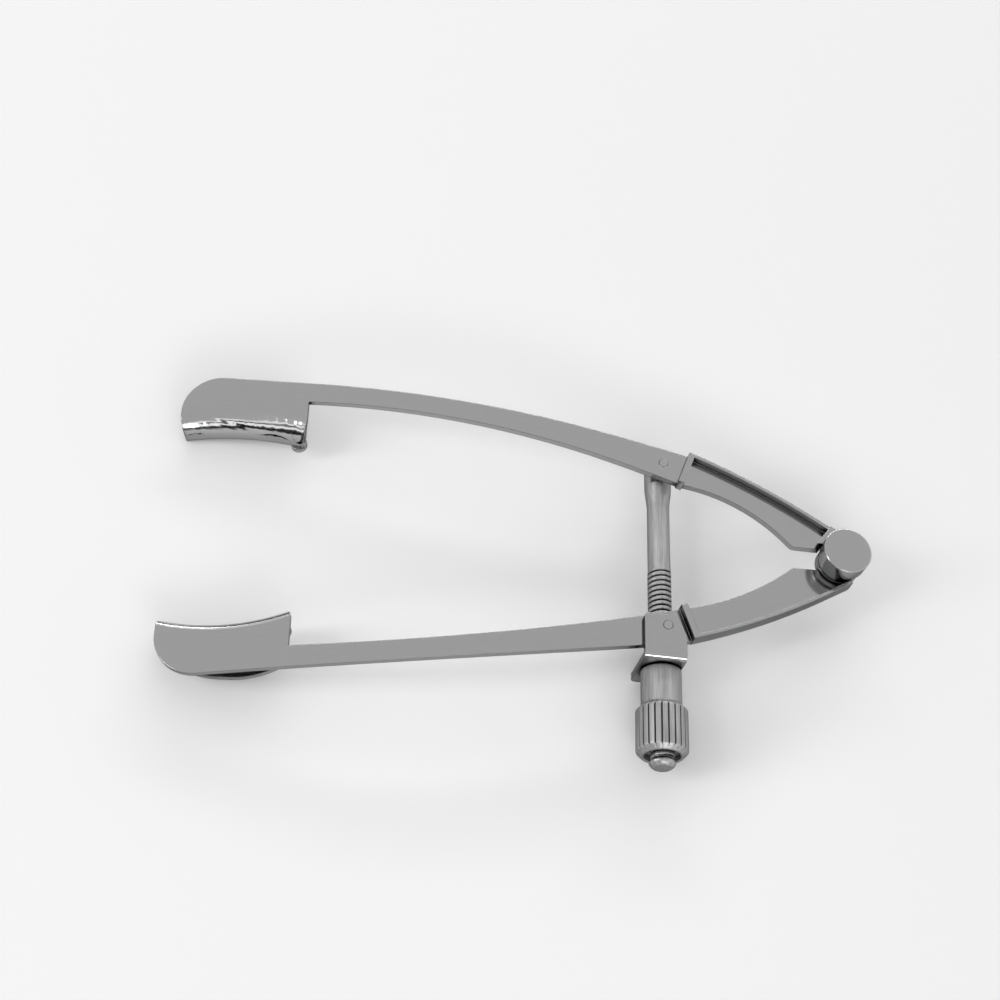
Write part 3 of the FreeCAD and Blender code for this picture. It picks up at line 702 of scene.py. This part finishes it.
def build_screw():
    """Makes the screw: its flat tongue, the flare, the shank, the thread and the peened end."""
    x, z = SCREW_AXIS
    start_y = SCREW_HIGH.y - SCREW_END_RADIUS
    at = along_screw(start_y)
    angles = [2 * math.pi * step / SCREW_STEPS for step in range(SCREW_STEPS)]
    points = []
    for height in screw_heights():
        for angle in angles:
            across, up = screw_skin(height, angle)
            points.append(Vector((x + across, start_y - height, z + up)))
    for radius, rise in STUB_PROFILE:
        height = STUB_START + rise
        points += [at(dented(radius, height, angle), angle, height) for angle in angles]
    rows = [range(first, first + SCREW_STEPS) for first in range(0, len(points), SCREW_STEPS)]
    faces = [face for low, high in zip(rows, rows[1:]) for face in join_rows(low, high)]
    faces += join_rows([len(points)], rows[0])
    points.append(at(0.0, 0.0, -SCREW_END_RADIUS))
    faces += join_rows(rows[-1], [len(points)])
    points.append(at(0.0, 0.0, SCREW_LENGTH))
    piece = mesh_object(
        "adjusting_screw_threaded", points, faces, satin, "screw", ["adjusting_screw"]
    )
    edges = piece.modifiers.new("sharp_shoulders", "EDGE_SPLIT")
    edges.split_angle = SHOULDER_ANGLE
    return piece


def flute_cut(angle):
    """How far a groove of the nut's head is cut at an angle, from 0 to 1."""
    pitch = 2 * math.pi / FLUTES
    offset = abs((angle + pitch / 2) % pitch - pitch / 2)
    return max(0.0, 1 - offset / FLUTE_HALF_ANGLE)


def build_nut():
    """Turns the nut: the neck in the flange, the collar and the fluted head with its recess."""
    collar_end = SIDE_GAP + COLLAR_LENGTH
    head_end = collar_end + HEAD_LENGTH
    neck_end = -(NUT_HIGH.y - FLANGE_Y)
    recess_floor = head_end - RECESS_DEPTH
    outside = [
        (BORE_RADIUS, neck_end),
        (NECK_RADIUS, neck_end),
        (NECK_RADIUS, SIDE_GAP),
        (COLLAR_RADIUS, SIDE_GAP),
        (COLLAR_RADIUS, collar_end),
        (HEAD_RADIUS - HEAD_CHAMFER, collar_end),
        (HEAD_RADIUS, collar_end + HEAD_CHAMFER),
        (HEAD_RADIUS, head_end - HEAD_CHAMFER),
        (HEAD_RADIUS - HEAD_CHAMFER, head_end),
        (RECESS_RADIUS, head_end),
        (RECESS_RADIUS, recess_floor),
        (BORE_RADIUS, recess_floor),
    ]

    def groove(radius, angle, height):
        bottom = HEAD_RADIUS - FLUTE_DEPTH
        if radius <= bottom or not collar_end - TINY <= height <= head_end + TINY:
            return radius
        return radius - (radius - bottom) * flute_cut(angle)

    return lathe(
        "thumb_nut_fluted",
        rounded(outside, NUT_EDGE, NUT_EDGE_STEPS),
        along_screw(FLANGE_Y),
        satin,
        "nut",
        ["thumb_nut"],
        FLUTES * FLUTE_STEPS,
        groove,
    )


build_rivet()
build_washer()
build_screw()
build_nut()
build_ring()
for name in ("lower_arm", "upper_arm", "swivel_bracket"):
    dress_cad_node(name, polished)
for name in ("screw_pin", "bracket_pin"):
    dress_cad_node(name, turned)


# Floor: the plane that the lid blades and the bracket's flange touch
arm_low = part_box("lower_arm")[0]
floor_slope = (BRACKET_LOW.z - arm_low.z) / (BRACKET_HIGH.x - arm_low.x)
FLOOR_DROP = 0.02 * MM
FLOOR_SIZE = 3.0
FLOOR_GREY = 0.93
FLOOR_ROUGHNESS = 0.9


def build_floor():
    """Lays a matt plane that slopes with the object's feet."""
    half = FLOOR_SIZE / 2
    corners = []
    for x, y in ((-half, -half), (half, -half), (half, half), (-half, half)):
        corners.append((x, y, arm_low.z + (x - arm_low.x) * floor_slope - FLOOR_DROP))
    mesh = bpy.data.meshes.new("floor")
    mesh.from_pydata(corners, [], [(0, 1, 2, 3)])
    floor = bpy.data.objects.new("floor", mesh)
    bpy.context.scene.collection.objects.link(floor)
    material = bpy.data.materials.new("pale_floor")
    material.use_nodes = True
    shader = material.node_tree.nodes["Principled BSDF"]
    shader.inputs["Base Color"].default_value = (FLOOR_GREY, FLOOR_GREY, FLOOR_GREY, 1)
    shader.inputs["Roughness"].default_value = FLOOR_ROUGHNESS
    shader.inputs["Specular IOR Level"].default_value = 0.0
    mesh.materials.append(material)
    return floor


build_floor()


# The tent's brightness from the horizon up: height of the direction and grey
TENT_GREY = 0.55
DARK_GREY = 0.01
STRIP_GREY = 1.6
STRIPS = (
    (0.32, DARK_GREY),
    (0.34, STRIP_GREY),
    (0.47, STRIP_GREY),
    (0.49, DARK_GREY),
    (0.59, DARK_GREY),
    (0.60, STRIP_GREY),
    (0.66, STRIP_GREY),
    (0.68, TENT_GREY),
)

# Folds of the tent, which shift its strips a little here and there
FOLD_SCALE = 3.0
FOLD_DETAIL = 2.0
FOLD_STRETCH = (1.0, 1.0, 0.3)
FOLD_LIMITS = (0.3, 0.7)
FOLD_SHIFT = 0.07


def build_world():
    """A grey studio tent whose light and dark strips give bends and edges their streaks."""
    world = bpy.data.worlds.new("studio")
    bpy.context.scene.world = world
    world.use_nodes = True
    tree = world.node_tree
    background = tree.nodes["Background"]
    place = add_node(tree, "ShaderNodeTexCoord").outputs["Generated"]
    split = add_node(tree, "ShaderNodeSeparateXYZ", Vector=place)
    round_about = add_node(tree, "ShaderNodeMapping", Vector=place, Scale=FOLD_STRETCH)
    folds = add_node(
        tree,
        "ShaderNodeTexNoise",
        Vector=round_about.outputs["Vector"],
        Scale=FOLD_SCALE,
        Detail=FOLD_DETAIL,
    )
    shift = remap(tree, folds.outputs["Fac"], FOLD_LIMITS, 0.0, FOLD_SHIFT)
    height = work_out(tree, "ShaderNodeMath", "ADD", split.outputs["Z"], shift)
    bands = add_node(tree, "ShaderNodeValToRGB", Fac=height.outputs["Value"])
    ramp = bands.color_ramp
    ramp.elements[0].position = 0.0
    ramp.elements[0].color = (DARK_GREY, DARK_GREY, DARK_GREY, 1)
    ramp.elements[1].position = 1.0
    ramp.elements[1].color = (TENT_GREY, TENT_GREY, TENT_GREY, 1)
    for position, grey in STRIPS:
        element = ramp.elements.new(position)
        element.color = (grey, grey, grey, 1)
    tree.links.new(bands.outputs["Color"], background.inputs["Color"])
    background.inputs["Strength"].default_value = 1.0
    return world


build_world()


# Softboxes: the direction that each shines from, and its width and height
SOFTBOXES = {
    "left_softbox": ((-0.85, -0.15, 0.45), (0.16, 0.4)),
    "back_softbox": ((0.1, 1.0, 0.42), (0.6, 0.1)),
    "front_softbox": ((0.15, -0.9, 0.5), (0.3, 0.14)),
}
SOFTBOX_DISTANCE = 0.6
SOFTBOX_RADIANCE = 5.0
SOFTBOX_TARGET = (-0.035, 0.0, 0.0)


def add_softbox(name, direction, size):
    """A rectangular lamp that faces the object; its radiance is how bright it looks."""
    width, height = size
    lamp = bpy.data.lights.new(name, "AREA")
    lamp.shape = "RECTANGLE"
    lamp.size = width
    lamp.size_y = height
    lamp.energy = SOFTBOX_RADIANCE * math.pi * width * height
    place = bpy.data.objects.new(name, lamp)
    aim = Vector(direction).normalized()
    place.location = Vector(SOFTBOX_TARGET) + aim * SOFTBOX_DISTANCE
    place.rotation_euler = aim.to_track_quat("Z", "Y").to_euler()
    place.visible_camera = False
    bpy.context.scene.collection.objects.link(place)
    return place


for name, (direction, size) in SOFTBOXES.items():
    add_softbox(name, direction, size)


# Camera: its place and axes come from matching the object's outlines in the photo
CAMERA_PLACE = Vector((-72.086, -105.181, 185.336)) * MM
CAMERA_RIGHT = Vector((0.9805845, 0.02381268, 0.19464581))
CAMERA_DOWN = Vector((0.11760413, -0.86569735, -0.48655665))
CAMERA_AHEAD = Vector((0.15691814, 0.50000106, -0.85168987))


def add_camera():
    """Puts a camera where the photo was taken from."""
    camera_data = bpy.data.cameras.new("camera")
    camera_data.sensor_width = 36.0
    camera_data.lens = 72.0
    camera_data.clip_start = 0.01
    camera = bpy.data.objects.new("camera", camera_data)
    turn = Matrix((CAMERA_RIGHT, -CAMERA_DOWN, -CAMERA_AHEAD)).transposed()
    camera.matrix_world = Matrix.Translation(CAMERA_PLACE) @ turn.to_4x4()
    bpy.context.scene.collection.objects.link(camera)
    bpy.context.scene.camera = camera
    return camera


add_camera()
bpy.context.scene.view_settings.view_transform = "Standard"
